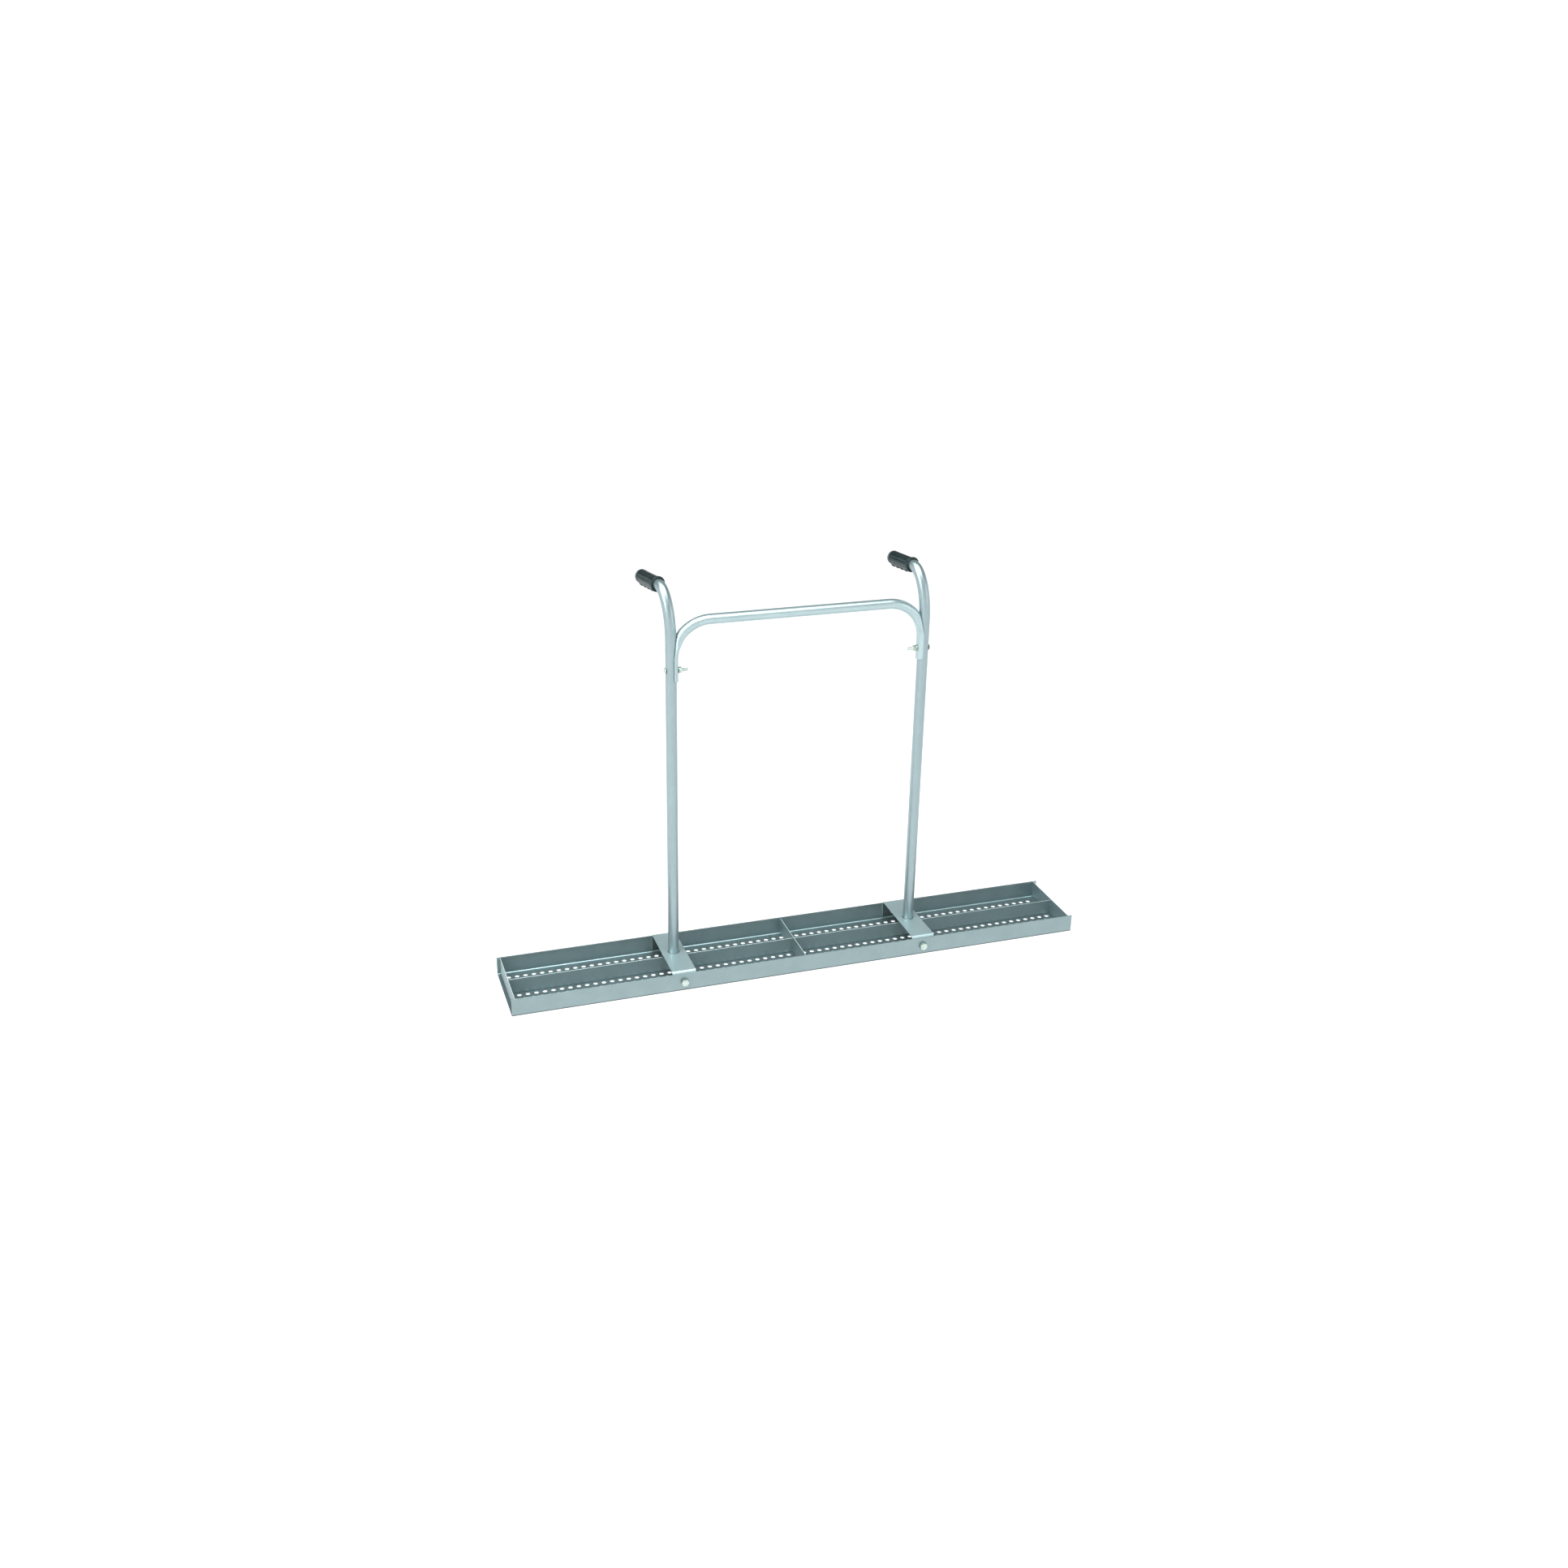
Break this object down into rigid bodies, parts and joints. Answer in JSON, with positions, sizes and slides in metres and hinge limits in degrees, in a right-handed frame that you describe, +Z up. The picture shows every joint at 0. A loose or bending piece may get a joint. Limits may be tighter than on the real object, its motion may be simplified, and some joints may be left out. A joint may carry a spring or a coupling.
{
  "type": "hand-pulled levelling drag",
  "caption": "Long perforated sheet-metal tray with a centre rib and cross divider, pulled by tall bent tube handles with rubber grips tied by a bowed crossbar.",
  "frame": {"origin": "middle of the tray's underside, on the surface it rests on", "axes": "+X along the tray, +Y to the rear where the grips point, +Z up"},
  "size_m": [1.5, 0.2589, 1.0191],
  "materials": {
    "tray_steel": "satin galvanised sheet with a faint blue-green cast",
    "tube_steel": "satin silver tube, slightly brighter than the sheet",
    "grip_rubber": "satin black moulded rubber",
    "zinc_fastener": "bright zinc plating, slightly yellow"
  },
  "bodies": {
    "tray_and_handles": {"tray_floor": "tray_steel", "tray_front_wall": "tray_steel", "tray_rear_wall": "tray_steel", "cross_divider": "tray_steel", "end_plate_left": "tray_steel", "end_plate_right": "tray_steel", "centre_rib_left": "tray_steel", "centre_rib_right": "tray_steel", "bracket_left": "tray_steel", "bracket_right": "tray_steel", "upright_left": "tube_steel", "upright_right": "tube_steel", "crossbar": "tube_steel", "grip_left": "grip_rubber", "grip_right": "grip_rubber", "bracket_bolt_left_front": "zinc_fastener", "bracket_bolt_left_rear": "zinc_fastener", "bracket_bolt_right_front": "zinc_fastener", "bracket_bolt_right_rear": "zinc_fastener", "bracket_washer_left_front": "zinc_fastener", "bracket_washer_left_rear": "zinc_fastener", "bracket_washer_right_front": "zinc_fastener", "bracket_washer_right_rear": "zinc_fastener", "bracket_nut_left_front": "zinc_fastener", "bracket_nut_left_rear": "zinc_fastener", "bracket_nut_right_front": "zinc_fastener", "bracket_nut_right_rear": "zinc_fastener", "saddle_bolt_left": "zinc_fastener", "saddle_bolt_right": "zinc_fastener"},
    "left_washer": {"saddle_washer_left": "zinc_fastener"},
    "right_washer": {"saddle_washer_right": "zinc_fastener"},
    "left_nut": {"saddle_nut_left": "zinc_fastener"},
    "right_nut": {"saddle_nut_right": "zinc_fastener"}
  },
  "joints": [
    {"name": "left_nut_travel", "type": "slide", "parent": "tray_and_handles", "child": "left_washer", "axis": [1, 0, 0], "range_m": [0, 0.0135]},
    {"name": "left_nut_spin", "type": "hinge", "parent": "left_washer", "child": "left_nut", "pos_m": [-0.32, 0, 0.805], "axis": [1, 0, 0], "range_deg": [0, 3888]},
    {"name": "right_nut_travel", "type": "slide", "parent": "tray_and_handles", "child": "right_washer", "axis": [-1, 0, 0], "range_m": [0, 0.0135]},
    {"name": "right_nut_spin", "type": "hinge", "parent": "right_washer", "child": "right_nut", "pos_m": [0.32, 0, 0.805], "axis": [-1, 0, 0], "range_deg": [0, 3888]}
  ],
  "couplings": [
    {"joint": "left_nut_travel", "follows": "left_nut_spin", "m_per_rad": 0.00019894},
    {"joint": "right_nut_travel", "follows": "right_nut_spin", "m_per_rad": 0.00019894}
  ]
}
